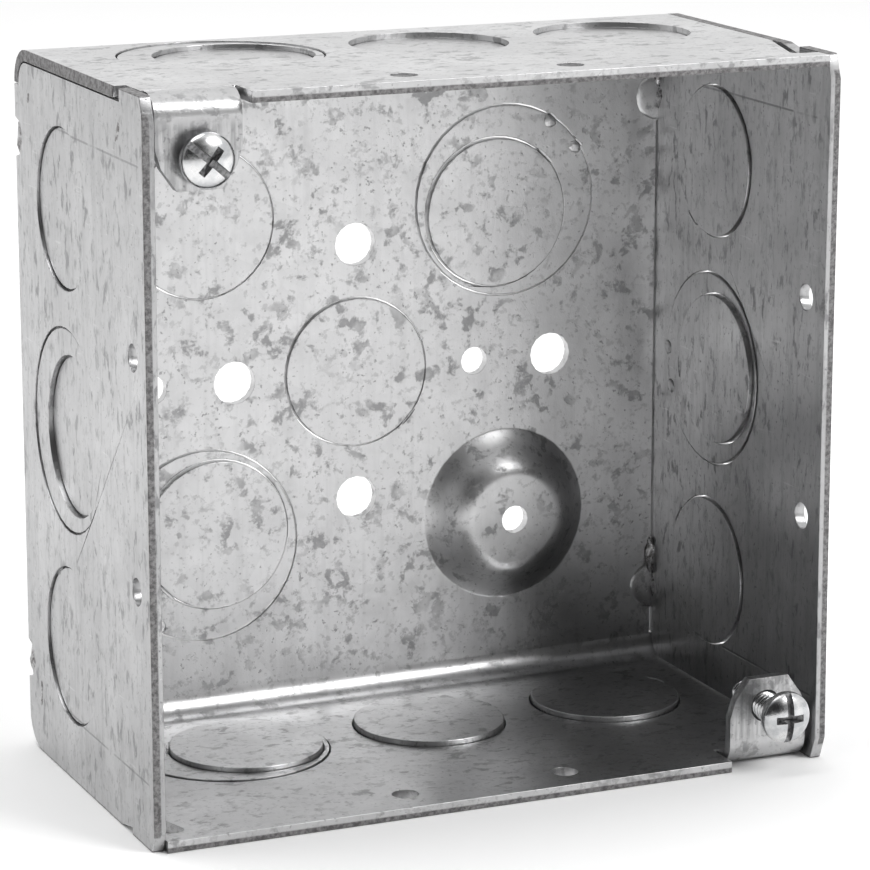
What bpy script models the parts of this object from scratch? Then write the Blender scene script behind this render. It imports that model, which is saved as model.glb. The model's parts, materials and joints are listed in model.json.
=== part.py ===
"""A welded square steel outlet box for building wiring, open at the front.

The box stands on its bottom wall. X runs to the right, Y from the opening to the back, Z up.
A bent sheet makes the top, back and bottom walls. Two flat plates close the sides. Every wall holds
pry-out discs, and two ears at opposite corners take the cover screws.
"""

import math

import bmesh
import bpy
from mathutils import Matrix, Vector

# Body
WIDTH = 0.1016
HEIGHT = 0.1016
DEPTH = 0.0540
SHEET = 0.0016
BEND_RADIUS = 0.0050
SEAM_GAP = 0.0002
HALF_WIDTH = WIDTH / 2
MID_HEIGHT = HEIGHT / 2

# Side plates
TAB_LENGTH = 0.0092
COVER_START = 0.0104
CORNER_CHAMFER_TALL = 0.0034
CORNER_CHAMFER_DEEP = 0.0013
FRONT_BOW = 0.0003
DIP_DEPTH = 0.0010
DIP_LENGTH = 0.0050
BACK_NOTCH_OFFSET = 0.0381
BACK_NOTCH_RADIUS = 0.0028
RELIEF_WIDTH = 0.0040
RELIEF_FRONT = 0.0032
RELIEF_BACK = 0.0165
RELIEF_BACK_WIDTH = 0.0004
RELIEF_CORNER_RADIUS = 0.0012
RELIEF_CORNER_ARC = (160, 270)

# Ears and their screws
EAR_WIDTH = 0.0121
EAR_X = 0.0425
EAR_SETBACK = 0.0018
EAR_BEND_RADIUS = 0.0032
EAR_LENGTH = 0.0128
EAR_TIP_WIDTH = 0.0062
EAR_SLANT = 0.0055
EAR_SHOULDER = 0.0008
EAR_SHOULDER_SHARE = 0.55
EAR_RELIEF = 0.0006
EAR_THINNING = 0.00005
SCREW_X = 0.0421
SCREW_DROP = 0.0086
SCREW_HOLE_RADIUS = 0.00235
SHANK_RADIUS = 0.00208
SHANK_LENGTH = 0.0127
SHANK_CHAMFER = 0.0006
HEAD_RADIUS = 0.0037
HEAD_HEIGHT = 0.0023
HEAD_RIM = 0.0007
HEAD_DOME_ANGLES = (14.0, 32.0, 49.0, 66.0, 80.0)
DRIVE_WIDTH = 0.0010
DRIVE_DEPTH = 0.0012
CROSS_LENGTH = 0.0042
CROSS_EXTRA_DEPTH = 0.0003
UPPER_STANDOFF = 0.0014
LOWER_STANDOFF = 0.0052
UPPER_SLOT_ANGLE = -40.0
LOWER_SLOT_ANGLE = 90.0

# Pry-out discs
SMALL_HOLE_RADIUS = 0.0113
LARGE_HOLE_RADIUS = 0.0145
SHEAR_GAP = 0.00025
DISC_BACK_PUSH = 0.0003
DISC_SIDE_PUSH = 0.0004
DISC_WALL_PUSH = 0.0008
RING_PUSH = 0.0002
INNER_PUSH = 0.0009
ECCENTRICITY = 0.0023
SIDE_ROW_DEPTH = 0.0337
SIDE_PITCH = 0.0310
WALL_LARGE_X = -0.0275
WALL_MIDDLE_X = 0.0036
WALL_RIGHT_X = 0.0322
BACK_PITCH = 0.0240

# Round holes
BACK_HOLE_NEAR = 0.0191
BACK_HOLE_FAR = 0.0316
BACK_LARGE_RADIUS = 0.0032
BACK_SMALL_RADIUS = 0.0021
EDGE_HOLE_RADIUS = 0.0019
EDGE_HOLE_DEPTH = 0.0056
SIDE_EDGE_HOLE_OFFSET = 0.01585
WALL_EDGE_HOLE_OFFSET = 0.0122

# Raised grounding boss on the back wall
BOSS_X = 0.0240
BOSS_Z = MID_HEIGHT - 0.0240
BOSS_RADIUS = 0.0140
BOSS_TOP_RADIUS = 0.0066
BOSS_HEIGHT = 0.0042
BOSS_HOLE_RADIUS = 0.0021
BOSS_SINK = 0.00015

# Resolution
DISC_SEGMENTS = 40
HOLE_SEGMENTS = 16
BEND_STEPS = 6
BOSS_SEGMENTS = 36
BOSS_PROFILE_STEPS = 7
RELIEF_CORNER_STEPS = 5
SMOOTH_ANGLE = 30.0
SCREW_SEGMENTS = 20

# The lower screw stands in front of the rim, and the origin is midway between its head and the back.
HEAD_PROUD = LOWER_STANDOFF + HEAD_HEIGHT - EAR_SETBACK
RIM_Y = -(DEPTH - HEAD_PROUD) / 2
BACK_Y = RIM_Y + DEPTH
INNER_RADIUS = BEND_RADIUS - SHEET
CUT = 0.0030

COLLECTION = "junction_box"
CUTTERS = "cutters"


def clear_scene():
    for old in list(bpy.data.objects):
        bpy.data.objects.remove(old, do_unlink=True)


def make_collection(name):
    collection = bpy.data.collections.new(name)
    bpy.context.scene.collection.children.link(collection)
    return collection


def steel(name, color, roughness):
    material = bpy.data.materials.new(name)
    material.use_nodes = True
    shader = material.node_tree.nodes["Principled BSDF"]
    shader.inputs["Base Color"].default_value = (*color, 1.0)
    shader.inputs["Roughness"].default_value = roughness
    shader.inputs["Metallic"].default_value = 0.9
    return material


def add_object(name, mesh, collection, material=None):
    piece = bpy.data.objects.new(name, mesh)
    collection.objects.link(piece)
    if material is not None:
        mesh.materials.clear()
        mesh.materials.append(material)
    return piece


def arc(center, radius, start, end, steps=BEND_STEPS):
    """Points on an arc in a plane, with angles in degrees."""
    angles = [math.radians(start + (end - start) * i / steps) for i in range(steps + 1)]
    return [(center[0] + radius * math.cos(a), center[1] + radius * math.sin(a)) for a in angles]


def extruded(name, outline, thickness, placement, collection, material=None):
    """A closed flat outline, thickened to both sides of its own plane and then placed."""
    curve = bpy.data.curves.new(name, "CURVE")
    curve.dimensions = "2D"
    curve.fill_mode = "BOTH"
    curve.extrude = thickness / 2
    spline = curve.splines.new("POLY")
    spline.points.add(len(outline) - 1)
    for point, (u, v) in zip(spline.points, outline):
        point.co = (u, v, 0.0, 1.0)
    spline.use_cyclic_u = True
    drawn = bpy.data.objects.new(name + "_outline", curve)
    collection.objects.link(drawn)
    bpy.context.view_layer.update()
    evaluated = drawn.evaluated_get(bpy.context.evaluated_depsgraph_get())
    mesh = bpy.data.meshes.new_from_object(evaluated)
    bpy.data.objects.remove(drawn, do_unlink=True)
    shape = bmesh.new()
    shape.from_mesh(mesh)
    bmesh.ops.remove_doubles(shape, verts=shape.verts, dist=1e-6)
    bmesh.ops.transform(shape, matrix=placement, verts=shape.verts)
    bmesh.ops.recalc_face_normals(shape, faces=shape.faces)
    shape.to_mesh(mesh)
    shape.free()
    return add_object(name, mesh, collection, material)


def cylinders(name, holes, collection, segments):
    """One cutter made of separate cylinders: each hole is its middle, direction, radius and length."""
    shape = bmesh.new()
    for middle, direction, radius, length in holes:
        turn = Vector(direction).to_track_quat("Z", "Y").to_matrix().to_4x4()
        place = Matrix.Translation(middle) @ turn
        bmesh.ops.create_cone(
            shape,
            cap_ends=True,
            segments=segments,
            radius1=radius,
            radius2=radius,
            depth=length,
            matrix=place,
        )
    mesh = bpy.data.meshes.new(name)
    shape.to_mesh(mesh)
    shape.free()
    return as_cutter(add_object(name, mesh, collection))


def block(name, low, high, collection):
    low = Vector(low)
    high = Vector(high)
    shape = bmesh.new()
    size = Matrix.Diagonal((*(high - low), 1.0))
    bmesh.ops.create_cube(shape, size=1.0, matrix=Matrix.Translation((low + high) / 2) @ size)
    mesh = bpy.data.meshes.new(name)
    shape.to_mesh(mesh)
    shape.free()
    return add_object(name, mesh, collection)


def turned(name, profile, segments, placement, collection, material=None):
    """A profile of (radius, height) points, from the axis at the top to the axis at the bottom."""
    mesh = bpy.data.meshes.new(name)
    shape = bmesh.new()
    points = [shape.verts.new((radius, 0.0, height)) for radius, height in profile]
    for first, second in zip(points, points[1:]):
        shape.edges.new((first, second))
    shape.to_mesh(mesh)
    shape.free()
    piece = add_object(name, mesh, collection, material)
    screw = piece.modifiers.new("turn", "SCREW")
    screw.steps = segments
    screw.render_steps = segments
    screw.use_merge_vertices = True
    screw.merge_threshold = 0.00001
    piece.matrix_world = placement
    return piece


def as_cutter(piece):
    piece.hide_render = True
    piece.display_type = "WIRE"
    return piece


def combine(target, other, operation):
    boolean = target.modifiers.new(operation.lower(), "BOOLEAN")
    boolean.operation = operation
    boolean.object = as_cutter(other)
    boolean.solver = "EXACT"


def bake(piece, smooth_angle=SMOOTH_ANGLE):
    """Turns the modifiers into mesh and shades its round faces smooth."""
    bpy.context.view_layer.update()
    evaluated = piece.evaluated_get(bpy.context.evaluated_depsgraph_get())
    mesh = bpy.data.meshes.new_from_object(evaluated)
    mesh.name = piece.name
    piece.modifiers.clear()
    piece.data = mesh
    mesh.shade_smooth()
    mesh.set_sharp_from_angle(angle=math.radians(smooth_angle))


# Placements. A plane's own (u, v) becomes two of the box's directions.

def seen_from_right(x):
    """(u, v) is (distance behind the rim, height), on the plane at x."""
    return Matrix(((0, 0, 1, x), (1, 0, 0, RIM_Y), (0, 1, 0, 0), (0, 0, 0, 1)))


def seen_from_top(z):
    """(u, v) is (x, distance behind the rim), on the plane at z."""
    return Matrix(((1, 0, 0, 0), (0, 1, 0, RIM_Y), (0, 0, 1, z), (0, 0, 0, 1)))


def seen_from_front(depth):
    """(u, v) is (x, height), on the plane that lies depth behind the rim."""
    return Matrix(((1, 0, 0, 0), (0, 0, -1, RIM_Y + depth), (0, 1, 0, 0), (0, 0, 0, 1)))


# The second of each corner pair is the first, turned half a turn about the box's front-to-back line.
HALF_TURN = Matrix.Translation((0, 0, MID_HEIGHT)) @ Matrix.Rotation(math.pi, 4, "Y")
HALF_TURN = HALF_TURN @ Matrix.Translation((0, 0, -MID_HEIGHT))


class Wall:
    """One wall: its outer face, its two in-plane directions and the way into the box."""

    def __init__(self, name, origin, across, up, inward, push):
        self.name = name
        self.origin = Vector(origin)
        self.across = Vector(across)
        self.up = Vector(up)
        self.inward = Vector(inward)
        self.push = push

    def point(self, a, b, depth=0.0):
        return self.origin + self.across * a + self.up * b + self.inward * depth

    def direction(self, degrees):
        angle = math.radians(degrees)
        return self.across * math.cos(angle) + self.up * math.sin(angle)


BACK = Wall("back", (0, BACK_Y, MID_HEIGHT), (1, 0, 0), (0, 0, 1), (0, -1, 0), DISC_BACK_PUSH)
TOP = Wall("top", (0, RIM_Y, HEIGHT), (1, 0, 0), (0, 1, 0), (0, 0, -1), DISC_WALL_PUSH)
BOTTOM = Wall("bottom", (0, RIM_Y, 0), (1, 0, 0), (0, 1, 0), (0, 0, 1), DISC_WALL_PUSH)
LEFT = Wall("left", (-HALF_WIDTH, RIM_Y, MID_HEIGHT), (0, 1, 0), (0, 0, 1), (1, 0, 0), DISC_SIDE_PUSH)
RIGHT = Wall("right", (HALF_WIDTH, RIM_Y, MID_HEIGHT), (0, 1, 0), (0, 0, 1), (-1, 0, 0), DISC_SIDE_PUSH)

# Single pry-outs: wall, name, centre on the wall and the angle of the tie that holds the disc.
SINGLES = (
    (BACK, "center", (0.0, 0.0), -42.0),
    (BACK, "upper_left", (-BACK_PITCH, BACK_PITCH), 160.0),
    (TOP, "middle", (WALL_MIDDLE_X, SIDE_ROW_DEPTH), 200.0),
    (TOP, "right", (WALL_RIGHT_X, SIDE_ROW_DEPTH), -20.0),
    (BOTTOM, "middle", (WALL_MIDDLE_X, SIDE_ROW_DEPTH), 20.0),
    (BOTTOM, "right", (WALL_RIGHT_X, SIDE_ROW_DEPTH), 20.0),
    (LEFT, "upper", (SIDE_ROW_DEPTH, SIDE_PITCH), -35.0),
    (LEFT, "lower", (SIDE_ROW_DEPTH, -SIDE_PITCH), 57.0),
    (RIGHT, "upper", (SIDE_ROW_DEPTH, SIDE_PITCH), -57.0),
    (RIGHT, "lower", (SIDE_ROW_DEPTH, -SIDE_PITCH), 35.0),
)

# Double pry-outs: the inner disc nearly touches the ring's edge on the side away from the ring's tie.
DOUBLES = (
    (BACK, "upper_right", (BACK_PITCH, BACK_PITCH), 45.0),
    (BACK, "lower_left", (-BACK_PITCH, -BACK_PITCH), 225.0),
    (TOP, "left", (WALL_LARGE_X, SIDE_ROW_DEPTH), 200.0),
    (BOTTOM, "left", (WALL_LARGE_X, SIDE_ROW_DEPTH), 160.0),
    (LEFT, "middle", (SIDE_ROW_DEPTH, 0.0), 10.0),
    (RIGHT, "middle", (SIDE_ROW_DEPTH, 0.0), -10.0),
)


def inner_center(center, tie_angle):
    angle = math.radians(tie_angle)
    return (center[0] - ECCENTRICITY * math.cos(angle), center[1] - ECCENTRICITY * math.sin(angle))


def wall_holes(walls):
    """The pry-out openings of these walls, as (middle, direction, radius, length)."""
    found = []
    for wall, _, center, _ in SINGLES:
        if wall in walls:
            found.append((wall.point(*center, SHEET / 2), wall.inward, SMALL_HOLE_RADIUS, SHEET + CUT))
    for wall, _, center, _ in DOUBLES:
        if wall in walls:
            found.append((wall.point(*center, SHEET / 2), wall.inward, LARGE_HOLE_RADIUS, SHEET + CUT))
    return found


def round_hole(wall, a, b, radius):
    return (wall.point(a, b, SHEET / 2), wall.inward, radius, SHEET + CUT)


def side_plate_outline():
    """The left plate: its bottom edge covers the bent sheet, its top edge lies under the top wall."""
    chamfer = CORNER_CHAMFER_DEEP
    outline = [(0.0, CORNER_CHAMFER_TALL), (chamfer, 0.0), (TAB_LENGTH, 0.0)]
    outline += [(TAB_LENGTH, DIP_DEPTH), (TAB_LENGTH + DIP_LENGTH, 0.0)]
    outline += arc((DEPTH - BEND_RADIUS, BEND_RADIUS), BEND_RADIUS, -90, 0)
    for height in (MID_HEIGHT - BACK_NOTCH_OFFSET, MID_HEIGHT + BACK_NOTCH_OFFSET):
        outline += arc((DEPTH, height), BACK_NOTCH_RADIUS, 270, 90)
    inset = SHEET + SEAM_GAP
    outline += [(DEPTH, HEIGHT - BEND_RADIUS - SEAM_GAP), (DEPTH - inset, HEIGHT - BEND_RADIUS - SEAM_GAP)]
    outline += arc((DEPTH - BEND_RADIUS, HEIGHT - BEND_RADIUS), BEND_RADIUS - inset, 0, 90)
    outline += [(TAB_LENGTH, HEIGHT - inset), (TAB_LENGTH, HEIGHT), (chamfer, HEIGHT)]
    front_top = HEIGHT - CORNER_CHAMFER_TALL
    span = front_top - CORNER_CHAMFER_TALL
    for step in range(BEND_STEPS):
        along = step / BEND_STEPS
        outline.append((FRONT_BOW * math.sin(math.pi * along), front_top - span * along))
    return outline


def make_side_plates(collection, cutters, material):
    outline = side_plate_outline()
    left_x = -HALF_WIDTH + SHEET / 2
    left = extruded("left_side_plate", outline, SHEET, seen_from_right(left_x), collection, material)
    right_place = HALF_TURN @ seen_from_right(left_x)
    right = extruded("right_side_plate", outline, SHEET, right_place, collection, material)
    for plate, wall in ((left, LEFT), (right, RIGHT)):
        pry_holes = cylinders(plate.name + "_pry_holes", wall_holes([wall]), cutters, DISC_SEGMENTS)
        combine(plate, pry_holes, "DIFFERENCE")
        places = [
            round_hole(wall, EDGE_HOLE_DEPTH, side * SIDE_EDGE_HOLE_OFFSET, EDGE_HOLE_RADIUS)
            for side in (-1, 1)
        ]
        edge_holes = cylinders(plate.name + "_edge_holes", places, cutters, HOLE_SEGMENTS)
        combine(plate, edge_holes, "DIFFERENCE")
        bake(plate)


def wrapper_outline():
    """The bent sheet from the side: outer face from the top front round the back, then its inner face."""
    outer = [(0.0, HEIGHT)]
    outer += arc((DEPTH - BEND_RADIUS, HEIGHT - BEND_RADIUS), BEND_RADIUS, 90, 0)
    outer += arc((DEPTH - BEND_RADIUS, BEND_RADIUS), BEND_RADIUS, 0, -90)
    outer += [(0.0, 0.0), (0.0, SHEET)]
    inner = arc((DEPTH - BEND_RADIUS, BEND_RADIUS), INNER_RADIUS, -90, 0)
    inner += arc((DEPTH - BEND_RADIUS, HEIGHT - BEND_RADIUS), INNER_RADIUS, 0, 90)
    return outer + inner + [(0.0, HEIGHT - SHEET)]


def end_cut_outline():
    """What the left plate takes from the bent sheet's end: all but the strip that covers its top edge."""
    far = CUT
    outline = [(-far, -far), (DEPTH + far, -far), (DEPTH + far, HEIGHT - BEND_RADIUS)]
    outline += [(DEPTH - SHEET, HEIGHT - BEND_RADIUS)]
    outline += arc((DEPTH - BEND_RADIUS, HEIGHT - BEND_RADIUS), INNER_RADIUS, 0, 90)[1:]
    outline += [(COVER_START + SHEET, HEIGHT - SHEET), (COVER_START, HEIGHT + far), (-far, HEIGHT + far)]
    return outline


def corner_relief_outline():
    """The relief in the top wall beside the right plate's tab, widening towards the front."""
    edge = HALF_WIDTH - SHEET
    middle = (edge - RELIEF_WIDTH + RELIEF_CORNER_RADIUS, RELIEF_FRONT + RELIEF_CORNER_RADIUS)
    outline = [(edge + SHEET, RELIEF_FRONT), (edge + SHEET, RELIEF_BACK)]
    outline.append((edge - RELIEF_BACK_WIDTH, RELIEF_BACK))
    return outline + arc(middle, RELIEF_CORNER_RADIUS, *RELIEF_CORNER_ARC, RELIEF_CORNER_STEPS)


def ear_outline():
    """The upper ear from the side: the top wall turned down behind the rim, and a little thinner."""
    outer = EAR_BEND_RADIUS - EAR_THINNING
    inner = EAR_BEND_RADIUS - SHEET + EAR_THINNING
    middle = (EAR_SETBACK + EAR_BEND_RADIUS, HEIGHT - EAR_BEND_RADIUS)
    join = middle[0] + SHEET
    tip = HEIGHT - EAR_LENGTH
    outline = [(join, middle[1] + outer)] + arc(middle, outer, 90, 180)
    outline += [(middle[0] - outer, tip), (middle[0] - inner, tip)]
    return outline + arc(middle, inner, 180, 90) + [(join, middle[1] + inner)]


def ear_trim_outline(side):
    """The slanted corner that is cut from one side of the upper ear's tip."""
    tip = HEIGHT - EAR_LENGTH
    half_tip = EAR_TIP_WIDTH / 2
    half_ear = EAR_WIDTH / 2
    shoulder = (half_ear - EAR_SHOULDER, tip + EAR_SLANT * EAR_SHOULDER_SHARE)
    corners = [(half_tip, tip - CUT), (half_tip, tip), shoulder]
    corners += [(half_ear, tip + EAR_SLANT), (half_ear + CUT, tip + EAR_SLANT), (half_ear + CUT, tip - CUT)]
    return [(-EAR_X + side * u, v) for u, v in corners]


def add_ear(wrapper, cutters, place, tag):
    """Cuts the wall back at the ear and joins the ear to it. place turns the upper ear to its corner."""
    half = EAR_WIDTH / 2
    join = EAR_SETBACK + EAR_BEND_RADIUS + SHEET
    low = (-EAR_X - half - EAR_RELIEF, RIM_Y - CUT, HEIGHT - SHEET - CUT)
    high = (-EAR_X + half + EAR_RELIEF, RIM_Y + join - SHEET / 2, HEIGHT + CUT)
    gap = block(tag + "_gap", low, high, cutters)
    gap.data.transform(place)
    combine(wrapper, gap, "DIFFERENCE")
    ear = extruded(tag, ear_outline(), EAR_WIDTH, place @ seen_from_right(-EAR_X), cutters)
    for side in (-1, 1):
        trim_place = place @ seen_from_front(EAR_SETBACK + SHEET / 2)
        trim = extruded(f"{tag}_trim_{side}", ear_trim_outline(side), SHEET + CUT, trim_place, cutters)
        combine(ear, trim, "DIFFERENCE")
    middle = place @ Vector((-SCREW_X, RIM_Y + EAR_SETBACK + SHEET / 2, HEIGHT - SCREW_DROP))
    hole = [(middle, (0, 1, 0), SCREW_HOLE_RADIUS, SHEET + CUT)]
    combine(ear, cylinders(tag + "_hole", hole, cutters, SCREW_SEGMENTS), "DIFFERENCE")
    combine(wrapper, ear, "UNION")


def boss_profile(radius, top_radius, height, floor):
    """A soft frustum whose flat top rolls into a sloping side that flares out at its foot."""
    profile = [(0.0, height)]
    for step in range(BOSS_PROFILE_STEPS + 1):
        along = step / BOSS_PROFILE_STEPS
        fall = (1 - math.cos(math.pi * along)) / 2
        profile.append((top_radius + (radius - top_radius) * along, height - (height + BOSS_SINK) * fall))
    return profile + [(radius, floor), (0.0, floor)]


def add_boss(wrapper, cutters):
    """Pushes the round boss into the box and leaves its hollow on the back."""
    face = Matrix.Translation((BOSS_X, BACK_Y - SHEET, BOSS_Z)) @ Matrix.Rotation(math.pi / 2, 4, "X")
    profile = boss_profile(BOSS_RADIUS, BOSS_TOP_RADIUS, BOSS_HEIGHT, -SHEET / 2)
    dome = turned("boss_dome", profile, BOSS_SEGMENTS, face, cutters)
    combine(wrapper, dome, "UNION")
    outside = Matrix.Translation((BOSS_X, BACK_Y, BOSS_Z)) @ Matrix.Rotation(math.pi / 2, 4, "X")
    hollow_radius = BOSS_RADIUS - SHEET / 2
    profile = boss_profile(hollow_radius, BOSS_TOP_RADIUS - SHEET / 2, BOSS_HEIGHT, -CUT)
    hollow = turned("boss_hollow", profile, BOSS_SEGMENTS, outside, cutters)
    combine(wrapper, hollow, "DIFFERENCE")


def make_wrapper(collection, cutters, material):
    wrapper = extruded("box_wrapper", wrapper_outline(), WIDTH, seen_from_right(0.0), collection, material)
    end_width = SHEET + SEAM_GAP + CUT
    end_x = -HALF_WIDTH - CUT + end_width / 2
    for tag, place in (("left", Matrix.Identity(4)), ("right", HALF_TURN)):
        end_place = place @ seen_from_right(end_x)
        end = extruded(tag + "_end_cut", end_cut_outline(), end_width, end_place, cutters)
        combine(wrapper, end, "DIFFERENCE")
        relief_place = place @ seen_from_top(HEIGHT - SHEET / 2)
        relief = extruded(tag + "_relief", corner_relief_outline(), SHEET + CUT, relief_place, cutters)
        combine(wrapper, relief, "DIFFERENCE")
    add_ear(wrapper, cutters, Matrix.Identity(4), "upper_ear")
    add_ear(wrapper, cutters, HALF_TURN, "lower_ear")
    add_boss(wrapper, cutters)
    pry_holes = wall_holes([BACK, TOP, BOTTOM])
    combine(wrapper, cylinders("wrapper_pry_holes", pry_holes, cutters, DISC_SEGMENTS), "DIFFERENCE")
    combine(wrapper, cylinders("wrapper_holes", wrapper_round_holes(), cutters, HOLE_SEGMENTS), "DIFFERENCE")
    bake(wrapper)


def wrapper_round_holes():
    """Mounting holes of the back, the boss's hole and the small holes near the rim."""
    holes = [
        round_hole(BACK, 0.0, BACK_HOLE_NEAR, BACK_LARGE_RADIUS),
        round_hole(BACK, 0.0, -BACK_HOLE_NEAR, BACK_LARGE_RADIUS),
        round_hole(BACK, -BACK_HOLE_NEAR, 0.0, BACK_LARGE_RADIUS),
        round_hole(BACK, BACK_HOLE_FAR, 0.0, BACK_LARGE_RADIUS),
        round_hole(BACK, BACK_HOLE_NEAR, 0.0, BACK_SMALL_RADIUS),
        round_hole(BACK, -BACK_HOLE_FAR, 0.0, BACK_SMALL_RADIUS),
    ]
    boss = (BOSS_X, BACK_Y - BOSS_HEIGHT - SHEET / 2, BOSS_Z)
    holes.append((Vector(boss), BACK.inward, BOSS_HOLE_RADIUS, SHEET + CUT))
    for wall in (TOP, BOTTOM):
        for side in (-1, 1):
            holes.append(round_hole(wall, side * WALL_EDGE_HOLE_OFFSET, EDGE_HOLE_DEPTH, EDGE_HOLE_RADIUS))
    return holes


def make_disc(name, wall, center, radius, tie_angle, push, collection, material):
    """A pry-out disc. Its origin is on its hinge line, at the tie, on its inner face."""
    middle = wall.point(*center, push + SHEET / 2)
    tie = wall.point(*center, push + SHEET) + wall.direction(tie_angle) * radius
    shape = bmesh.new()
    turn = wall.inward.to_track_quat("Z", "Y").to_matrix().to_4x4()
    bmesh.ops.create_cone(
        shape,
        cap_ends=True,
        segments=DISC_SEGMENTS,
        radius1=radius,
        radius2=radius,
        depth=SHEET,
        matrix=Matrix.Translation(middle - tie) @ turn,
    )
    mesh = bpy.data.meshes.new(name)
    shape.to_mesh(mesh)
    shape.free()
    disc = add_object(name, mesh, collection, material)
    disc.location = tie
    mesh.shade_smooth()
    mesh.set_sharp_from_angle(angle=math.radians(SMOOTH_ANGLE))
    return disc


def make_pry_outs(collection, cutters, material):
    small = SMALL_HOLE_RADIUS - SHEAR_GAP
    large = LARGE_HOLE_RADIUS - SHEAR_GAP
    for wall, place, center, tie_angle in SINGLES:
        name = f"knockout_{wall.name}_{place}"
        make_disc(name, wall, center, small, tie_angle, wall.push, collection, material)
    for wall, place, center, tie_angle in DOUBLES:
        inner = inner_center(center, tie_angle)
        name = f"knockout_{wall.name}_{place}"
        ring = make_disc(name + "_ring", wall, center, large, tie_angle, RING_PUSH, collection, material)
        middle = wall.point(*inner, RING_PUSH + SHEET / 2)
        hole = [(middle, wall.inward, SMALL_HOLE_RADIUS, SHEET + CUT)]
        combine(ring, cylinders(name + "_ring_hole", hole, cutters, DISC_SEGMENTS), "DIFFERENCE")
        bake(ring)
        make_disc(name + "_disc", wall, inner, small, tie_angle, INNER_PUSH, collection, material)


def screw_profile():
    """A round-headed machine screw, head up. The head's underside is at height 0."""
    profile = [(0.0, HEAD_HEIGHT)]
    dome = HEAD_HEIGHT - HEAD_RIM
    for angle in HEAD_DOME_ANGLES:
        turn = math.radians(angle)
        profile.append((HEAD_RADIUS * math.sin(turn), HEAD_RIM + dome * math.cos(turn)))
    profile += [(HEAD_RADIUS, HEAD_RIM), (HEAD_RADIUS, 0.0), (SHANK_RADIUS, 0.0)]
    profile += [(SHANK_RADIUS, SHANK_CHAMFER - SHANK_LENGTH)]
    profile += [(SHANK_RADIUS - SHANK_CHAMFER, -SHANK_LENGTH), (0.0, -SHANK_LENGTH)]
    return profile


def make_screw(name, x, z, standoff, slot_angle, collection, cutters, material):
    """A cover screw in its ear. Its origin is under its head, on its own line."""
    underside = RIM_Y + EAR_SETBACK - standoff
    face_front = Matrix.Rotation(math.pi / 2, 4, "X")
    place = Matrix.Translation((x, underside, z)) @ face_front
    screw = turned(name, screw_profile(), SCREW_SEGMENTS, place, collection, material)
    floor = underside - HEAD_HEIGHT + DRIVE_DEPTH
    half = DRIVE_WIDTH / 2
    slot = ("slot", HEAD_RADIUS * 3, slot_angle, 0.0)
    cross = ("cross", CROSS_LENGTH, slot_angle + 90, CROSS_EXTRA_DEPTH)
    for tag, length, angle, deeper in (slot, cross):
        low = (-length / 2, floor - CUT, -half)
        high = (length / 2, floor + deeper, half)
        groove = block(f"{name}_{tag}", low, high, cutters)
        turn = Matrix.Rotation(math.radians(-angle), 4, "Y")
        groove.data.transform(Matrix.Translation((x, 0, z)) @ turn)
        combine(screw, groove, "DIFFERENCE")
    bake(screw)


def make_screws(collection, cutters, material):
    upper = (-SCREW_X, HEIGHT - SCREW_DROP)
    lower = (SCREW_X, SCREW_DROP)
    make_screw("cover_screw_upper", *upper, UPPER_STANDOFF, UPPER_SLOT_ANGLE, collection, cutters, material)
    make_screw("cover_screw_lower", *lower, LOWER_STANDOFF, LOWER_SLOT_ANGLE, collection, cutters, material)


def main():
    clear_scene()
    parts = make_collection(COLLECTION)
    cutters = make_collection(CUTTERS)
    make_wrapper(parts, cutters, steel("galvanized_wrapper", (0.62, 0.62, 0.63), 0.42))
    make_side_plates(parts, cutters, steel("galvanized_plate", (0.60, 0.60, 0.61), 0.42))
    make_pry_outs(parts, cutters, steel("galvanized_disc", (0.62, 0.62, 0.63), 0.42))
    make_screws(parts, cutters, steel("zinc_plated_screw", (0.72, 0.72, 0.72), 0.22))


main()
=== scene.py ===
"""Looks of the welded steel outlet box: galvanised sheet, pry-out ties, welds and zinc-plated screws."""

import json
import math

import bmesh
import bpy
from mathutils import Matrix, Vector, noise


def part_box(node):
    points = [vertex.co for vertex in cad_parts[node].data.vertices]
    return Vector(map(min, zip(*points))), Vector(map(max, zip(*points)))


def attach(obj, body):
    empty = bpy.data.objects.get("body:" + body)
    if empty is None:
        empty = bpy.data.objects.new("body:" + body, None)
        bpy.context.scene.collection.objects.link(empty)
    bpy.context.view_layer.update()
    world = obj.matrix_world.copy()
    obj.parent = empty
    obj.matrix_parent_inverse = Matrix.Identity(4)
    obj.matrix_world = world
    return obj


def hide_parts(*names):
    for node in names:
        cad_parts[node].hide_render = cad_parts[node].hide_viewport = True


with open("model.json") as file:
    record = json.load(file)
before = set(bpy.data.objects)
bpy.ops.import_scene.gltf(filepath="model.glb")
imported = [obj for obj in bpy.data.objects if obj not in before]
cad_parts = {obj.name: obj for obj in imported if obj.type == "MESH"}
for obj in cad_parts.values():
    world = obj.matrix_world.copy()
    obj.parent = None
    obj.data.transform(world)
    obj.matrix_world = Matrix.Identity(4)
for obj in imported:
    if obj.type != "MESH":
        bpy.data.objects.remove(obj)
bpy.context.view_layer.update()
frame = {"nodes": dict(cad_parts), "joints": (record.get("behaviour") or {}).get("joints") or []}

SHEET = 0.0016
BEVEL = 0.00012
HEAD_BEVEL = 0.00007
MERGE_DISTANCE = 0.000002
WALL_LOW, WALL_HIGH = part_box("box_wrapper")
RIM_Y = WALL_LOW.y
BACK_Y = WALL_HIGH.y
HALF_WIDTH = WALL_HIGH.x
HEIGHT = WALL_HIGH.z
MID_HEIGHT = HEIGHT / 2
JOINTS = {joint["child"]: joint for joint in frame["joints"]}


# ---------------------------------------------------------------- shader helpers


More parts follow.
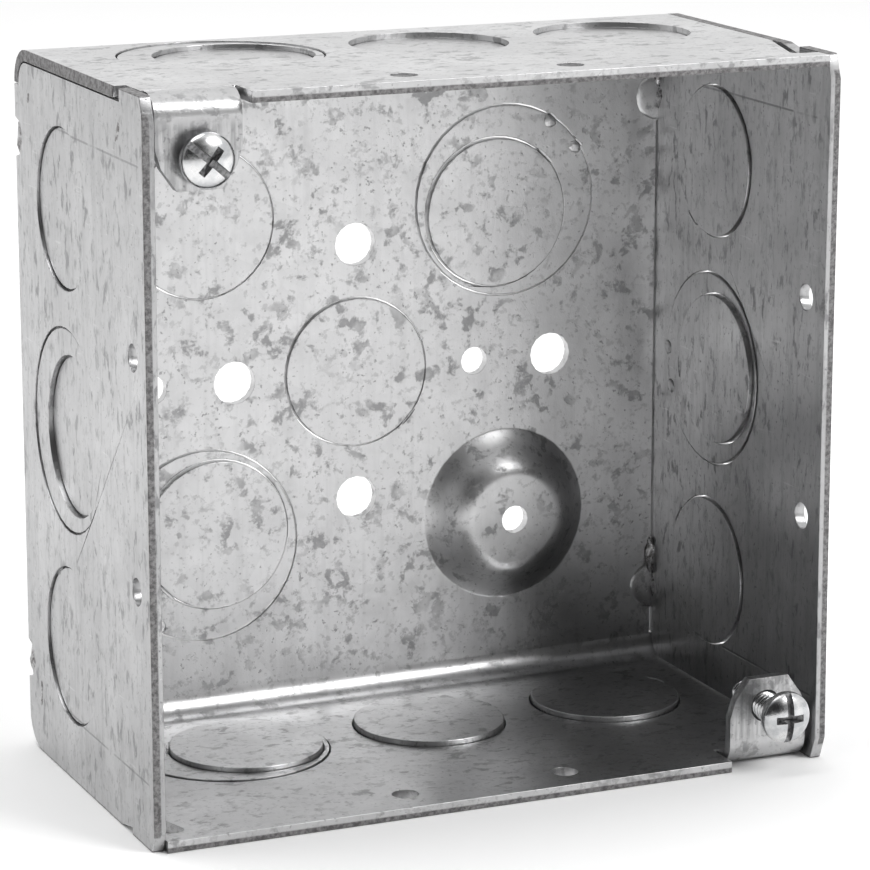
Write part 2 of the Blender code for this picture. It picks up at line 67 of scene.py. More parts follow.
class Shader:
    """A small helper that builds one node material."""

    def __init__(self, name):
        self.material = bpy.data.materials.new(name)
        self.material.use_nodes = True
        self.tree = self.material.node_tree
        self.principled = self.tree.nodes["Principled BSDF"]
        self.coordinates = self.tree.nodes.new("ShaderNodeTexCoord").outputs["Object"]
        axes = self.tree.nodes.new("ShaderNodeSeparateXYZ")
        self.tree.links.new(self.coordinates, axes.inputs[0])
        self.x, self.y, self.z = axes.outputs

    def feed(self, socket, value):
        if isinstance(value, (int, float, tuple)):
            socket.default_value = value
        else:
            self.tree.links.new(value, socket)

    def math(self, operation, first, second=0.0):
        node = self.tree.nodes.new("ShaderNodeMath")
        node.operation = operation
        self.feed(node.inputs[0], first)
        self.feed(node.inputs[1], second)
        return node.outputs[0]

    def times(self, first, second):
        """The product of two values."""
        return self.math("MULTIPLY", first, second)

    def plus(self, first, second):
        """The sum of two values."""
        return self.math("ADD", first, second)

    def most(self, first, second):
        """The larger of two values."""
        return self.math("MAXIMUM", first, second)

    def stretched(self, scale, turn=(0.0, 0.0, 0.0)):
        node = self.tree.nodes.new("ShaderNodeMapping")
        self.tree.links.new(self.coordinates, node.inputs["Vector"])
        node.inputs["Rotation"].default_value = turn
        node.inputs["Scale"].default_value = scale
        return node.outputs[0]

    def noise(self, scale, detail=3.0, rough=0.55, distortion=0.0, vector=None):
        node = self.tree.nodes.new("ShaderNodeTexNoise")
        self.tree.links.new(vector or self.coordinates, node.inputs["Vector"])
        node.inputs["Scale"].default_value = scale
        node.inputs["Detail"].default_value = detail
        node.inputs["Roughness"].default_value = rough
        node.inputs["Distortion"].default_value = distortion
        return node.outputs[0]

    def cells(self, scale):
        node = self.tree.nodes.new("ShaderNodeTexVoronoi")
        self.tree.links.new(self.coordinates, node.inputs["Vector"])
        node.inputs["Scale"].default_value = scale
        grey = self.tree.nodes.new("ShaderNodeSeparateColor")
        self.tree.links.new(node.outputs["Color"], grey.inputs[0])
        return grey.outputs[0]

    def ramp(self, value, low, high, to_low=0.0, to_high=1.0):
        node = self.tree.nodes.new("ShaderNodeMapRange")
        node.interpolation_type = "SMOOTHSTEP"
        self.tree.links.new(value, node.inputs["Value"])
        for socket, number in zip(node.inputs[1:5], (low, high, to_low, to_high)):
            socket.default_value = number
        return node.outputs[0]

    def mix(self, share, first, second):
        node = self.tree.nodes.new("ShaderNodeMix")
        node.data_type = "RGBA"
        self.feed(node.inputs["Factor"], share)
        self.feed(node.inputs[6], first)
        self.feed(node.inputs[7], second)
        return node.outputs[2]

    def bump(self, height, distance, strength=1.0, onto=None):
        node = self.tree.nodes.new("ShaderNodeBump")
        node.inputs["Strength"].default_value = strength
        node.inputs["Distance"].default_value = distance
        self.tree.links.new(height, node.inputs["Height"])
        if onto is not None:
            self.tree.links.new(onto, node.inputs["Normal"])
        return node.outputs[0]

    def near(self, value, target, reach, soft):
        """1 where value is within reach of target, falling to 0 over soft."""
        away = self.math("ABSOLUTE", self.math("SUBTRACT", value, target))
        return self.ramp(away, reach + soft, reach)

    def complete(self, color, rough, normal, metallic=1.0):
        """Links the three finished values to the shader and returns the material."""
        for socket, value in (("Base Color", color), ("Roughness", rough), ("Normal", normal)):
            self.tree.links.new(value, self.principled.inputs[socket])
        self.principled.inputs["Metallic"].default_value = metallic
        return self.material


# Noise scales in cells per metre, and depths of relief in metres
CLOUD_SCALE = 46.0
PATCH_SCALE = 150.0
SPECK_SCALE = 1500.0
SPANGLE_SCALE = 280.0
FINE_SCALE = 3200.0
WAVE_SCALE = 70.0
STROKE_RATIO = 2.3
STROKE_TURN = (0.1, 0.2, 0.1)
DRAWN_SCALE = (800.0, 800.0, 50.0)
HAIR_SCALE = (2600.0, 190.0, 2300.0)
HAIR_TURN = (0.35, 0.1, 0.2)
TORN_SCALE = (1500.0, 1500.0, 1500.0)
BROKEN_SCALE = (60.0, 260.0, 60.0)
# Vertical streaks that break up the painted shade on the ear blades
EAR_SHADE_STREAK_SCALE = (1400.0, 1400.0, 120.0)
WRAPPER_STROKES = (400.0, 520.0, 400.0)
PLATE_STROKES = (700.0, 700.0, 300.0)
SHEET_ROUGHNESS = 0.30
SHEET_RELIEF = 0.000045
WAVE_RELIEF = 0.00035
LINE_RELIEF = 0.00006
SCREW_RELIEF = 0.00002
WELD_RELIEF = 0.00004
RECESS_RELIEF = 0.00003

# Places of marks on the sheet metal, in metres
END_CLEAR = 0.00022
END_FULL = 0.00012
LINE_DROP = 0.0092
LINE_REACH = 0.00008
LINE_SOFT = 0.00014
LINE_MIDDLE = 0.0200
LINE_HALF_LENGTH = 0.0175
LINE_END = 0.0010
# Where the painted shade on the ear blades lies: behind the rim, and below the bends
EAR_DEPTH_FULL = 0.0036
EAR_DEPTH_CLEAR = 0.0050
EAR_TOP_CLEAR = 0.0030
EAR_TOP_FULL = 0.0050


def grey(level, warm=0.0):
    return (level + warm, level, level - warm * 0.6 + 0.004, 1.0)


def galvanised(name, strokes, streaks, flecks, shear, scribed=False, shade_factor=1.0):
    """Hot-dip zinc: pale grey with spangle, dark flecks, drawn streaks and hairline scratches. The ear
    blades also get painted shade, as streaky darkening.
    """
    s = Shader(name)
    cloud = s.noise(CLOUD_SCALE, 3.0, 0.6, 0.3)
    patch = s.noise(PATCH_SCALE, 4.0, 0.6, 0.2)
    dab = s.noise(1.0, 4.0, 0.62, 0.25, s.stretched(strokes))
    stroke = s.noise(1.0, 3.0, 0.6, 0.1, s.stretched(tuple(v * STROKE_RATIO for v in strokes), STROKE_TURN))
    speck = s.noise(SPECK_SCALE, 2.0, 0.5)
    spangle = s.cells(SPANGLE_SCALE)
    fine = s.noise(FINE_SCALE, 2.0, 0.6)
    drawn = s.noise(1.0, 3.0, 0.6, 0.2, s.stretched(DRAWN_SCALE))
    hair = s.noise(1.0, 2.0, 0.5, 0.3, s.stretched(HAIR_SCALE, HAIR_TURN))
    dab_mask = s.times(s.ramp(dab, 0.535, 0.635), s.ramp(patch, 0.36, 0.60, 0.25, 1.0))
    stroke_mask = s.ramp(stroke, 0.56, 0.66)
    speck_mask = s.times(s.ramp(speck, 0.64, 0.72), s.ramp(patch, 0.62, 0.42))
    hair_mask = s.ramp(hair, 0.67, 0.77)
    streak_mask = s.ramp(drawn, 0.46, 0.70)
    # Every grey below is scaled by shade_factor. Below 1, this is painted shade that makes a darker copy of
    # the same finish.
    color = s.mix(s.ramp(cloud, 0.30, 0.70), grey(0.57 * shade_factor), grey(0.71 * shade_factor))
    color = s.mix(s.times(spangle, 0.22), color, grey(0.48 * shade_factor))
    color = s.mix(s.times(s.ramp(patch, 0.45, 0.75), 0.35), color, grey(0.44 * shade_factor))
    color = s.mix(s.times(dab_mask, flecks), color, grey(0.20 * shade_factor))
    color = s.mix(s.times(stroke_mask, flecks * 0.55), color, grey(0.26 * shade_factor))
    color = s.mix(s.times(speck_mask, flecks * 0.9), color, grey(0.16 * shade_factor))
    color = s.mix(s.times(streak_mask, streaks), color, grey(0.36 * shade_factor))
    color = s.mix(s.times(hair_mask, 0.22), color, grey(0.80))
    end, dark_half = shear(s)
    torn = s.noise(1.0, 4.0, 0.7, 0.0, s.stretched(TORN_SCALE))
    torn_tone = s.mix(s.ramp(torn, 0.35, 0.65), grey(0.13, 0.004), grey(0.30, 0.004))
    color = s.mix(s.times(end, dark_half), color, torn_tone)
    rough = s.plus(s.times(dab_mask, 0.10), SHEET_ROUGHNESS)
    rough = s.plus(rough, s.times(s.ramp(cloud, 0.3, 0.7), 0.06))
    rough = s.plus(rough, s.times(s.times(end, dark_half), 0.25))
    relief = s.plus(s.times(dab_mask, -0.40), s.times(spangle, 0.20))
    relief = s.plus(relief, s.times(fine, 0.30))
    relief = s.plus(relief, s.times(speck_mask, -0.5))
    relief = s.plus(relief, s.times(drawn, streaks * 0.9))
    relief = s.plus(relief, s.times(s.times(torn, end), 0.8))
    normal = s.bump(relief, SHEET_RELIEF, 0.75)
    wave = s.noise(WAVE_SCALE, 1.0, 0.4)
    normal = s.bump(wave, WAVE_RELIEF, 0.35, normal)
    if scribed:
        upper_line = s.near(s.z, HEIGHT - LINE_DROP, LINE_REACH, LINE_SOFT)
        line = s.most(upper_line, s.near(s.z, LINE_DROP, LINE_REACH, LINE_SOFT))
        line = s.times(line, s.near(s.y, RIM_Y + LINE_MIDDLE, LINE_HALF_LENGTH, LINE_END))
        broken = s.noise(1.0, 2.0, 0.5, 0.0, s.stretched(BROKEN_SCALE))
        line = s.times(line, s.ramp(broken, 0.28, 0.50))
        color = s.mix(s.times(line, 0.75), color, grey(0.22))
        normal = s.bump(s.times(line, -1.0), LINE_RELIEF, 0.6, normal)
    else:
        # Painted shade: the ear blades are darkened towards dark grey in vertical streaks, to stand for the
        # shade they sit in. The streaks also stand for their drawn grain.
        ear = s.times(s.ramp(s.y, RIM_Y + EAR_DEPTH_CLEAR, RIM_Y + EAR_DEPTH_FULL), ear_reach(s))
        ear_shade_streaks = s.noise(1.0, 3.0, 0.6, 0.1, s.stretched(EAR_SHADE_STREAK_SCALE))
        ear_shade_streaks = s.ramp(ear_shade_streaks, 0.35, 0.65, 0.10, 0.65)
        color = s.mix(s.times(ear, ear_shade_streaks), color, grey(0.24))
    return s.complete(color, rough, normal)


def ear_reach(s):
    """1 on the blades of the two turned-down ears, below their bends, where the painted shade goes."""
    under_top = s.ramp(s.z, HEIGHT - EAR_TOP_CLEAR, HEIGHT - EAR_TOP_FULL)
    over_bottom = s.ramp(s.z, EAR_TOP_CLEAR, EAR_TOP_FULL)
    upper = s.times(under_top, s.ramp(s.z, MID_HEIGHT, MID_HEIGHT + 0.001))
    lower = s.times(over_bottom, s.ramp(s.z, MID_HEIGHT, MID_HEIGHT - 0.001))
    return s.most(upper, lower)


def wrapper_shear(s):
    """Sheared ends of the bent sheet: its two side ends, and the lower half of each front end."""
    side_end = s.ramp(s.math("ABSOLUTE", s.x), HALF_WIDTH - END_CLEAR, HALF_WIDTH - END_FULL)
    front_end = s.ramp(s.y, RIM_Y + 0.00030, RIM_Y + 0.00016)
    upper_wall = s.math("GREATER_THAN", s.z, MID_HEIGHT)
    above = s.math("SUBTRACT", s.z, s.times(upper_wall, HEIGHT - SHEET))
    lower_half = s.ramp(above, 0.00085, 0.00060)
    return s.most(side_end, front_end), s.most(side_end, lower_half)


def plate_shear(s):
    """Sheared ends of the side plates: the top and bottom ends, and the outer half of the front."""
    flat_end = s.most(
        s.ramp(s.z, HEIGHT - END_CLEAR, HEIGHT - END_FULL),
        s.ramp(s.z, END_CLEAR, END_FULL),
    )
    front_end = s.ramp(s.y, RIM_Y + 0.00055, RIM_Y + 0.00040)
    outer_half = s.ramp(s.math("ABSOLUTE", s.x), HALF_WIDTH - 0.00105, HALF_WIDTH - 0.00080)
    return s.most(flat_end, front_end), s.most(flat_end, outer_half)


def no_shear(s):
    nothing = s.times(s.x, 0.0)
    return nothing, nothing


def zinc_plated(name):
    """Bright zinc plate on a screw: shiny, faintly blue, with turning marks and rubbed specks."""
    s = Shader(name)
    cloud = s.noise(420.0, 3.0, 0.6, 0.4)
    pits = s.noise(3200.0, 3.0, 0.65)
    turned = s.noise(1.0, 2.0, 0.5, 0.0, s.stretched((300.0, 6000.0, 300.0)))
    color = s.mix(s.ramp(cloud, 0.35, 0.65), (0.52, 0.53, 0.54, 1.0), (0.74, 0.74, 0.74, 1.0))
    color = s.mix(s.times(s.ramp(pits, 0.60, 0.75), 0.5), color, (0.36, 0.36, 0.36, 1.0))
    rough = s.ramp(cloud, 0.3, 0.7, 0.16, 0.28)
    relief = s.plus(s.times(pits, 0.6), s.times(turned, 0.4))
    return s.complete(color, rough, s.bump(relief, SCREW_RELIEF, 0.6))


def weld_steel(name):
    """Burnt and re-zinced weld metal: lumpy, with dark and bright patches."""
    s = Shader(name)
    patch = s.noise(700.0, 4.0, 0.65, 0.8)
    grain = s.noise(3000.0, 3.0, 0.6)
    color = s.mix(s.ramp(patch, 0.36, 0.62), grey(0.12, 0.01), grey(0.46))
    return s.complete(color, s.ramp(patch, 0.3, 0.7, 0.48, 0.24), s.bump(grain, WELD_RELIEF, 0.7))


def shaded_recess_zinc(name):
    """The pressed metal inside a screw's drive recess: rougher than the head, and darkened as painted shade
    in the recess.
    """
    s = Shader(name)
    grain = s.noise(2400.0, 3.0, 0.6, 0.3)
    # Painted shade: the slot and recess are coloured far darker than the plated head.
    color = s.mix(s.ramp(grain, 0.35, 0.65), grey(0.14), grey(0.38))
    rough = s.ramp(grain, 0.3, 0.7, 0.35, 0.55)
    return s.complete(color, rough, s.bump(grain, RECESS_RELIEF, 0.6), 0.9)


# ---------------------------------------------------------------- carried-over sheet metal


def soften(piece, width, angle):
    """Rounds every edge sharper than angle."""
    bevel = piece.modifiers.new("bevel", "BEVEL")
    bevel.width = width
    bevel.segments = 2
    bevel.limit_method = "ANGLE"
    bevel.angle_limit = math.radians(angle)


def dress(node_name, material):
    """Gives a CAD node its finish and softens its edges without touching its vertices."""
    node = frame["nodes"][node_name]
    old = node.data.attributes.get("custom_normal")
    if old is not None:
        node.data.attributes.remove(old)
    node.data.polygons.foreach_set("use_smooth", [True] * len(node.data.polygons))
    if not node.material_slots:
        node.data.materials.append(material)
    for place in node.material_slots:
        place.material = material
    weld = node.modifiers.new("weld", "WELD")
    weld.merge_threshold = MERGE_DISTANCE
    soften(node, BEVEL, 32.0)
    normals = node.modifiers.new("normals", "WEIGHTED_NORMAL")
    normals.keep_sharp = True
    normals.weight = 100


wrapper_finish = galvanised("galvanised_wrapper", WRAPPER_STROKES, 0.14, 0.60, wrapper_shear)
# The side plates use a darker copy of the sheet finish (shade_factor 0.78). This is painted shade for the
# darker look the plates have under this light.
plate_finish = galvanised("galvanised_plate", PLATE_STROKES, 0.30, 0.58, plate_shear, True, 0.78)
disc_finish = galvanised("galvanised_disc", WRAPPER_STROKES, 0.14, 0.60, no_shear)
screw_finish = zinc_plated("zinc_plated_screw")
weld_finish = weld_steel("weld_metal")
shaded_recess_finish = shaded_recess_zinc("screw_recess_painted_shade")

for node_name in frame["nodes"]:
    if node_name.endswith("side_plate") or node_name.startswith(("knockout_left", "knockout_right")):
        dress(node_name, plate_finish)
    elif node_name.startswith("knockout"):
        dress(node_name, disc_finish)
    elif node_name == "box_wrapper":
        dress(node_name, wrapper_finish)


# ---------------------------------------------------------------- made pieces


def add_piece(name, shape, material, body, smooth_angle):
    """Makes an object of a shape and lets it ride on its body."""
    mesh = bpy.data.meshes.new(name)
    shape.to_mesh(mesh)
    shape.free()
    mesh.materials.append(material)
    piece = bpy.data.objects.new(name, mesh)
    bpy.context.scene.collection.objects.link(piece)
    mesh.shade_smooth()
    mesh.set_sharp_from_angle(angle=math.radians(smooth_angle))
    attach(piece, body)
    return piece


def rings_to_mesh(rings):
    """Joins rings of points into a skin, with a fan to the middle at each end."""
    shape = bmesh.new()
    rows = [[shape.verts.new(point) for point in ring] for ring in rings]
    count = len(rows[0])
    for low, high in zip(rows, rows[1:]):
        for k in range(count):
            shape.faces.new((low[k], low[(k + 1) % count], high[(k + 1) % count], high[k]))
    for row in (rows[0], rows[-1]):
        middle = shape.verts.new(sum((v.co for v in row), Vector()) / count)
        for k in range(count):
            shape.faces.new((row[k], row[(k + 1) % count], middle))
    bmesh.ops.recalc_face_normals(shape, faces=shape.faces[:])
    return shape


HEAD_HEIGHT = 0.0023
HEAD_RADIUS = 0.0037
SHANK_RADIUS = 0.00208
THREAD_DEPTH = 0.00046
THREAD_PITCH = 0.000794
HEAD_SEGMENTS = 64
SLOT_HALF_WIDTH = 0.00050
SLOT_DEPTH = 0.00125
DOME_START = 0.0007
THREAD_SEGMENTS = 40
ROWS_PER_TURN = 8
THREAD_FADE = 0.0007
TIP_LENGTH = 0.0011
TIP_TAPER = 0.00055
CUT_TOP = 0.0040
# The cross recess from its mouth down: height, reach along its long arm, half width
CROSS_ROWS = (
    (CUT_TOP, 0.00265, 0.00062),
    (HEAD_HEIGHT - 0.0003, 0.00215, 0.00052),
    (HEAD_HEIGHT - 0.0011, 0.00150, 0.00040),
    (HEAD_HEIGHT - 0.00165, 0.00062, 0.00030),
)


def circle(radius, height, count):
    """A ring of points about the z axis."""
    turns = [2 * math.pi * k / count for k in range(count)]
    return [(radius * math.cos(turn), radius * math.sin(turn), height) for turn in turns]


def head_shape():
    """A round machine-screw head with a rolled rim, its underside at height 0."""
    profile = [(SHANK_RADIUS * 0.8, 0.0), (HEAD_RADIUS - 0.00018, 0.0)]
    profile += [(HEAD_RADIUS - 0.00004, 0.00006), (HEAD_RADIUS, 0.00022), (HEAD_RADIUS, 0.00062)]
    for angle in range(84, 0, -7):
        turn = math.radians(angle)
        height = DOME_START + (HEAD_HEIGHT - DOME_START) * math.cos(turn)
        profile.append((HEAD_RADIUS * math.sin(turn), height))
    return rings_to_mesh([circle(radius, height, HEAD_SEGMENTS) for radius, height in profile])


def oblong(half_x, half_y, height):
    """A flat rectangle of four points about the z axis."""
    corners = ((-1, -1), (1, -1), (1, 1), (-1, 1))
    return [(u * half_x, v * half_y, height) for u, v in corners]


def drive_cutters(slot_angle):
    """The wide slot, and the pointed cross recess that shares its middle."""
    long = HEAD_RADIUS * 1.5
    heights = (HEAD_HEIGHT - SLOT_DEPTH, CUT_TOP)
    slot = rings_to_mesh([oblong(long, SLOT_HALF_WIDTH, height) for height in heights])
    cross = rings_to_mesh([oblong(width, reach, height) for height, reach, width in CROSS_ROWS])
    shapes = [slot, cross]
    for shape in shapes:
        shape.transform(Matrix.Rotation(math.radians(slot_angle), 4, "Z"))
    return shapes


def cut(piece, shapes):
    """Boolean cuts that are applied to the piece's own mesh."""
    for shape in shapes:
        mesh = bpy.data.meshes.new("cutter")
        mesh.materials.append(shaded_recess_finish)
        shape.to_mesh(mesh)
        shape.free()
        cutter = bpy.data.objects.new("cutter", mesh)
        bpy.context.scene.collection.objects.link(cutter)
        cutter.matrix_world = piece.matrix_world
        modifier = piece.modifiers.new("cut", "BOOLEAN")
        modifier.operation = "DIFFERENCE"
        modifier.solver = "EXACT"
        modifier.material_mode = "TRANSFER"
        modifier.object = cutter
        bpy.context.view_layer.update()
        graph = bpy.context.evaluated_depsgraph_get()
        made = bpy.data.meshes.new_from_object(piece.evaluated_get(graph))
        piece.modifiers.clear()
        old = piece.data
        piece.data = made
        bpy.data.meshes.remove(old)
        bpy.data.objects.remove(cutter)


def thread_shape(length):
    """A single-start machine thread that fades out under the head and at its tip."""
    steps = int(length / THREAD_PITCH * ROWS_PER_TURN)
    rings = []
    for step in range(steps + 1):
        depth = length * step / steps
        ring = []
        fade = min(1.0, depth / THREAD_FADE)
        tip = max(0.0, (depth - (length - TIP_LENGTH)) / TIP_LENGTH)
        for k in range(THREAD_SEGMENTS):
            angle = 2 * math.pi * k / THREAD_SEGMENTS
            phase = (depth / THREAD_PITCH - k / THREAD_SEGMENTS) % 1.0
            crest = max(0.0, min(1.0, 1.35 - abs(phase - 0.5) * 3.4))
            radius = SHANK_RADIUS - THREAD_DEPTH * (1 - crest) * fade - TIP_TAPER * tip
            ring.append((radius * math.cos(angle), radius * math.sin(angle), -depth))
        rings.append(ring)
    return rings_to_mesh(rings)


def make_screw(node_name, slot_angle):
    """A detailed head and threaded shank that stand for a plain CAD screw."""
    low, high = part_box(node_name)
    x = (low.x + high.x) / 2
    z = (low.z + high.z) / 2
    underside = low.y + HEAD_HEIGHT
    place = Matrix.Translation((x, underside, z)) @ Matrix.Rotation(math.pi / 2, 4, "X")
    head = bpy.data.objects.new(node_name + "_head", bpy.data.meshes.new(node_name + "_head"))
    bpy.context.scene.collection.objects.link(head)
    shape = head_shape()
    shape.to_mesh(head.data)
    shape.free()
    head.data.materials.append(screw_finish)
    cut(head, drive_cutters(slot_angle))
    head.data.transform(place)
    head.data.shade_smooth()
    head.data.set_sharp_from_angle(angle=math.radians(28.0))
    soften(head, HEAD_BEVEL, 35.0)
    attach(head, node_name)
    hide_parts(node_name)
    shape = thread_shape(high.y - underside - 0.00002)
    shape.transform(place @ Matrix.Translation((0, 0, 0.00001)))
    shank = add_piece(node_name + "_thread_form", shape, screw_finish, node_name, 80.0)
    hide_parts(node_name)


make_screw("cover_screw_upper", -40.0)
make_screw("cover_screw_lower", 90.0)


def lump(width, length, height, seed, rough=0.18):
    """A low rounded bead, lying on z = 0 with its long side along x."""
    shape = bmesh.new()
    bmesh.ops.create_icosphere(shape, subdivisions=3, radius=1.0)
    for vertex in shape.verts:
        wobble = 1 + rough * noise.noise(vertex.co * 1.7 + Vector((seed, seed * 0.37, 0)))
        x, y, z = vertex.co
        vertex.co = Vector((x * length / 2, y * width / 2, z * height)) * wobble
    return shape


TIE_WIDTH = 0.0030
TIE_REACH = 0.00050
TIE_DEPTH = 0.00150
GAP_MIDDLE = 0.000125
PAIR_OFFSET = 0.0029
PAIR_SAGITTA = 0.0003
COIN_SIZE = (0.0017, 0.0021, 0.00024)
COIN_INSET = 0.0009


def tie_shape(width, seed):
    """A waisted block: its long side along x, across the gap along y, through the sheet along z."""
    shape = bmesh.new()
    bmesh.ops.create_cube(shape, size=1.0)
    bmesh.ops.subdivide_edges(shape, edges=shape.edges[:], cuts=6, use_grid_fill=True)
    for vertex in shape.verts:
        u, v, w = vertex.co * 2
        waist = 1 - 0.12 * (1 - v * v)
        fade = 1 - 0.45 * abs(u) ** 3
        rub = 0.00003 * noise.noise(vertex.co * 6 + Vector((seed, 0, 0)))
        vertex.co = Vector((u * width / 2, v * TIE_REACH / 2 * fade, w * TIE_DEPTH / 2 * waist + rub))
    return shape


def make_tie(body, seed):
    """The metal that still holds a pry-out across its shear gap: one wide tie, or a pair on a ring."""
    joint = JOINTS[body]
    hinge = Vector(joint["pos_m"])
    along = Vector(joint["axis"]).normalized()
    low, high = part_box(body)
    outward = hinge - (low + high) / 2
    inward = Vector((0, 0, 0))
    thin = min(range(3), key=lambda k: high[k] - low[k])
    inward[thin] = 1.0 if outward[thin] > 0 else -1.0
    outward[thin] = 0.0
    outward.normalize()
    turn = Matrix((along, outward, inward)).transposed().to_4x4()
    spot = hinge + outward * GAP_MIDDLE - inward * (SHEET / 2)
    finish = frame["nodes"][body].material_slots[0].material

    def put(name, shape, place, smooth_angle):
        shape.transform(Matrix.Translation(place) @ turn)
        bmesh.ops.recalc_face_normals(shape, faces=shape.faces[:])
        add_piece(name, shape, finish, body, smooth_angle)

    if not body.endswith("_ring"):
        put(body + "_tie_bridge", tie_shape(TIE_WIDTH, seed), spot, 50.0)
        return
    for side, tag in ((-1, "a"), (1, "b")):
        place = spot + along * (side * PAIR_OFFSET) - outward * PAIR_SAGITTA
        put(f"{body}_tie_bridge_{tag}", tie_shape(TIE_WIDTH / 2, seed + side), place, 50.0)
        place += inward * (SHEET / 2) - outward * COIN_INSET
        put(f"{body}_tie_coin_{tag}", lump(*COIN_SIZE, seed + 5 * side), place, 60.0)


for number, body in enumerate(sorted(JOINTS)):
    if body.startswith("knockout"):
        make_tie(body, 3.1 + number * 1.7)


def make_weld(name, place, facing, width, length, height, seed, turn=0.0):
    """A weld bead or spot on a face of the box, given by where it is and which way it faces."""
    shape = lump(width, length, height, seed, rough=0.35)
    out = Vector(facing).normalized()
    side = Vector((0, 0, 1))
    across = side.cross(out)
    basis = Matrix((across, side, out)).transposed().to_4x4()
    shape.transform(Matrix.Translation(place) @ basis @ Matrix.Rotation(math.radians(turn), 4, "Z"))
    bmesh.ops.recalc_face_normals(shape, faces=shape.faces[:])
    add_piece(name, shape, weld_finish, "box", 60.0)


NOTCH_OFFSET = 0.0381
PLATE_IN = HALF_WIDTH - SHEET
BACK_IN = BACK_Y - SHEET
DOME_RADIUS = 0.0036
DOME_HEIGHT = 0.00032


def make_dome(name, sign, level, seed):
    """The low swelling that a weld leaves on the back wall's inside, cut off by the side plate."""
    shape = lump(DOME_RADIUS * 2, DOME_RADIUS * 2, DOME_HEIGHT, seed, rough=0.08)
    place = Matrix.Translation((sign * PLATE_IN, BACK_IN, level))
    shape.transform(place @ Matrix.Rotation(math.pi / 2, 4, "X"))
    for vertex in shape.verts:
        vertex.co.x = sign * min(sign * vertex.co.x, PLATE_IN + SHEET / 4)
    bmesh.ops.recalc_face_normals(shape, faces=shape.faces[:])
    add_piece(name, shape, disc_finish, "box", 60.0)


# Weld spots on a side plate: name, depth behind the rim, drop from the top, width, length, turn
WELD_SPOTS = (
    ("front", 0.0098, 0.0056, 0.0012, 0.0042, 62.0),
    ("back", 0.0478, 0.0066, 0.0010, 0.0018, 80.0),
    ("far_back", 0.0482, HEIGHT - 0.0088, 0.0009, 0.0046, 86.0),
)
SPOT_HEIGHT = 0.00014
SPOT_SINK = 0.00006
SEED_PER_METRE = 900
PLUG_X = HALF_WIDTH - 0.00085
PLUG_Y = BACK_Y - 0.00180
PLUG_SIZE = (0.0062, 0.0030, 0.0010)
CORNER_SINK = 0.0002
CORNER_LEVEL = 0.0335
CORNER_SIZE = (0.0020, 0.0056, 0.0008)
FAR_CORNER_LEVEL = 0.0415
FAR_CORNER_SIZE = (0.0014, 0.0034, 0.0005)


def make_side_welds(side, sign):
    """The weld metal of one side plate. The right plate's is the left's after half a turn."""
    for tag, depth, drop, width, length, turn in WELD_SPOTS:
        level = HEIGHT - drop if sign < 0 else drop
        spot = Vector((sign * (HALF_WIDTH - SPOT_SINK), RIM_Y + depth, level))
        seed = 5.0 + depth * SEED_PER_METRE
        make_weld(f"weld_{side}_{tag}", spot, (sign, 0, 0), width, length, SPOT_HEIGHT, seed, turn)
    corner = Vector((sign * (PLATE_IN - CORNER_SINK), BACK_IN - CORNER_SINK, 0))
    corner.z = MID_HEIGHT - sign * CORNER_LEVEL
    make_weld(f"weld_{side}_inside", corner, (-sign, -1, 0), *CORNER_SIZE, 21.0 + sign, 90.0)
    for end, tag in ((-1, "lower"), (1, "upper")):
        level = MID_HEIGHT + end * NOTCH_OFFSET
        plug = Vector((sign * PLUG_X, PLUG_Y, level))
        make_weld(f"weld_{side}_notch_{tag}", plug, (sign, 0, 0), *PLUG_SIZE, 41.0 + end + sign)
        make_dome(f"weld_{side}_dome_{tag}", sign, level, 61.0 + end + sign)
    corner.z = MID_HEIGHT + sign * FAR_CORNER_LEVEL
    make_weld(f"weld_{side}_inside_far", corner, (-sign, -1, 0), *FAR_CORNER_SIZE, 31.0 + sign, 90.0)


make_side_welds("left", -1)
make_side_welds("right", 1)


# ---------------------------------------------------------------- stage, light and camera


FLOOR_HALF_SIZE = 3.0
FLOOR_DROP = 0.00005
DARK_SIDE = (-0.60, -0.80, 0.04)
DARKEST = 0.04
AZIMUTH = 0.412411391
ELEVATION = 0.234876699
DISTANCE = 0.540763985
AIM_DEPTH = 0.02705
AIM_RIGHT = 0.00151431
AIM_DOWN = 0.00392520
LENS = 158.10777


def make_floor():
    """A plain pale floor, just below the box."""
    shape = bmesh.new()
    bmesh.ops.create_grid(shape, x_segments=2, y_segments=2, size=FLOOR_HALF_SIZE)
    mesh = bpy.data.meshes.new("floor")
    shape.to_mesh(mesh)
    shape.free()
    floor = bpy.data.objects.new("floor", mesh)
    floor.location = (0, 0, -FLOOR_DROP)
    bpy.context.scene.collection.objects.link(floor)
    material = bpy.data.materials.new("pale_floor")
    material.use_nodes = True
    shader = material.node_tree.nodes["Principled BSDF"]
    shader.inputs["Base Color"].default_value = (0.97, 0.97, 0.97, 1.0)
    shader.inputs["Roughness"].default_value = 0.9
    shader.inputs["Specular IOR Level"].default_value = 0.1
    mesh.materials.append(material)


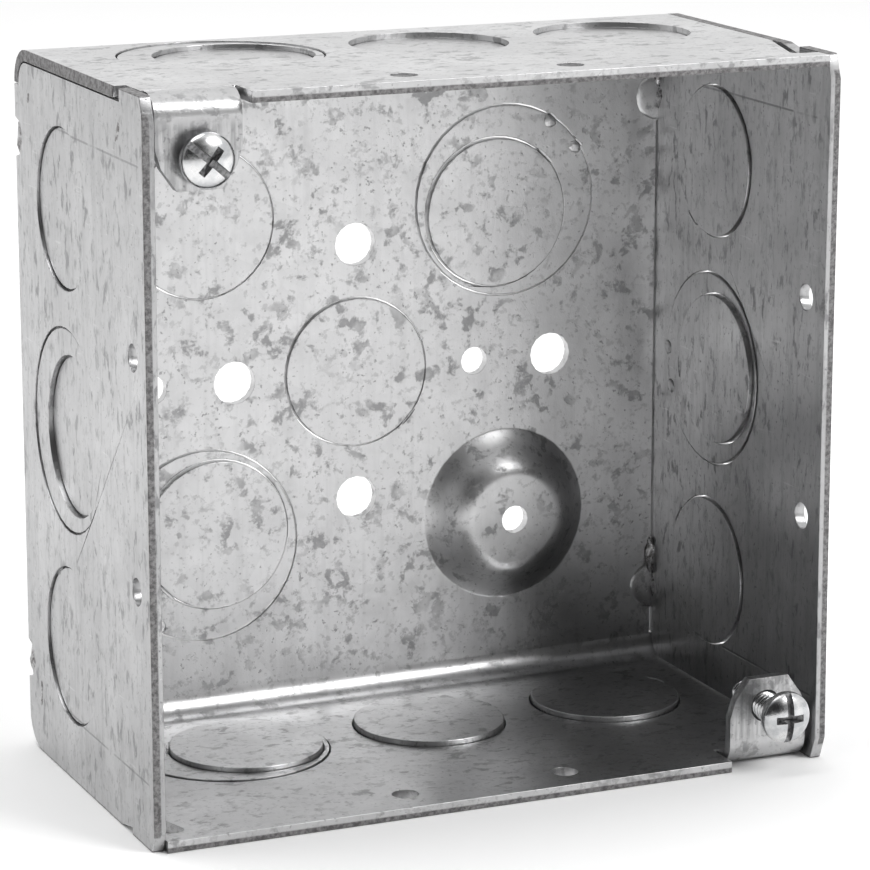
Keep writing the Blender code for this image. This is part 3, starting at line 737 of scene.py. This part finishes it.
def make_world():
    """A pale studio all round that falls off to a darker room in front, on the left."""
    world = bpy.data.worlds.new("studio")
    bpy.context.scene.world = world
    world.use_nodes = True
    tree = world.node_tree
    background = tree.nodes["Background"]
    direction = tree.nodes.new("ShaderNodeTexCoord").outputs["Generated"]
    facing = tree.nodes.new("ShaderNodeVectorMath")
    facing.operation = "DOT_PRODUCT"
    tree.links.new(direction, facing.inputs[0])
    facing.inputs[1].default_value = Vector(DARK_SIDE).normalized()
    shade = tree.nodes.new("ShaderNodeMapRange")
    shade.interpolation_type = "SMOOTHSTEP"
    tree.links.new(facing.outputs["Value"], shade.inputs["Value"])
    for name, number in (("From Min", 0.15), ("From Max", 0.80), ("To Min", 1.0), ("To Max", DARKEST)):
        shade.inputs[name].default_value = number
    tree.links.new(shade.outputs["Result"], background.inputs["Color"])
    background.inputs["Strength"].default_value = 1.0


def soft_light(name, place, size, power):
    """A square area light that faces the middle of the box and isn't seen itself."""
    data = bpy.data.lights.new(name, "AREA")
    data.size = size
    data.energy = power
    light = bpy.data.objects.new(name, data)
    light.location = place
    light.rotation_euler = (Vector((0, 0, 0.05)) - Vector(place)).to_track_quat("-Z", "Y").to_euler()
    bpy.context.scene.collection.objects.link(light)
    light.visible_camera = False


def make_camera():
    """A long-lens camera in front of the box, to its left and above it."""
    level = math.cos(ELEVATION)
    look = Vector((math.sin(AZIMUTH) * level, math.cos(AZIMUTH) * level, -math.sin(ELEVATION)))
    right = Vector((math.cos(AZIMUTH), -math.sin(AZIMUTH), 0))
    up = right.cross(look)
    aim = Vector((0, RIM_Y + AIM_DEPTH, MID_HEIGHT)) + right * AIM_RIGHT - up * AIM_DOWN
    data = bpy.data.cameras.new("camera")
    data.lens = LENS
    data.sensor_width = 36.0
    data.clip_start = 0.01
    camera = bpy.data.objects.new("camera", data)
    camera.location = aim - look * DISTANCE
    camera.rotation_euler = look.to_track_quat("-Z", "Y").to_euler()
    bpy.context.scene.collection.objects.link(camera)
    bpy.context.scene.camera = camera


make_floor()
make_world()
soft_light("key_light", (0.55, -0.75, 0.85), 0.5, 7.0)
soft_light("top_light", (-0.25, 0.15, 1.1), 0.6, 4.6)
make_camera()
bpy.context.scene.view_settings.view_transform = "Standard"
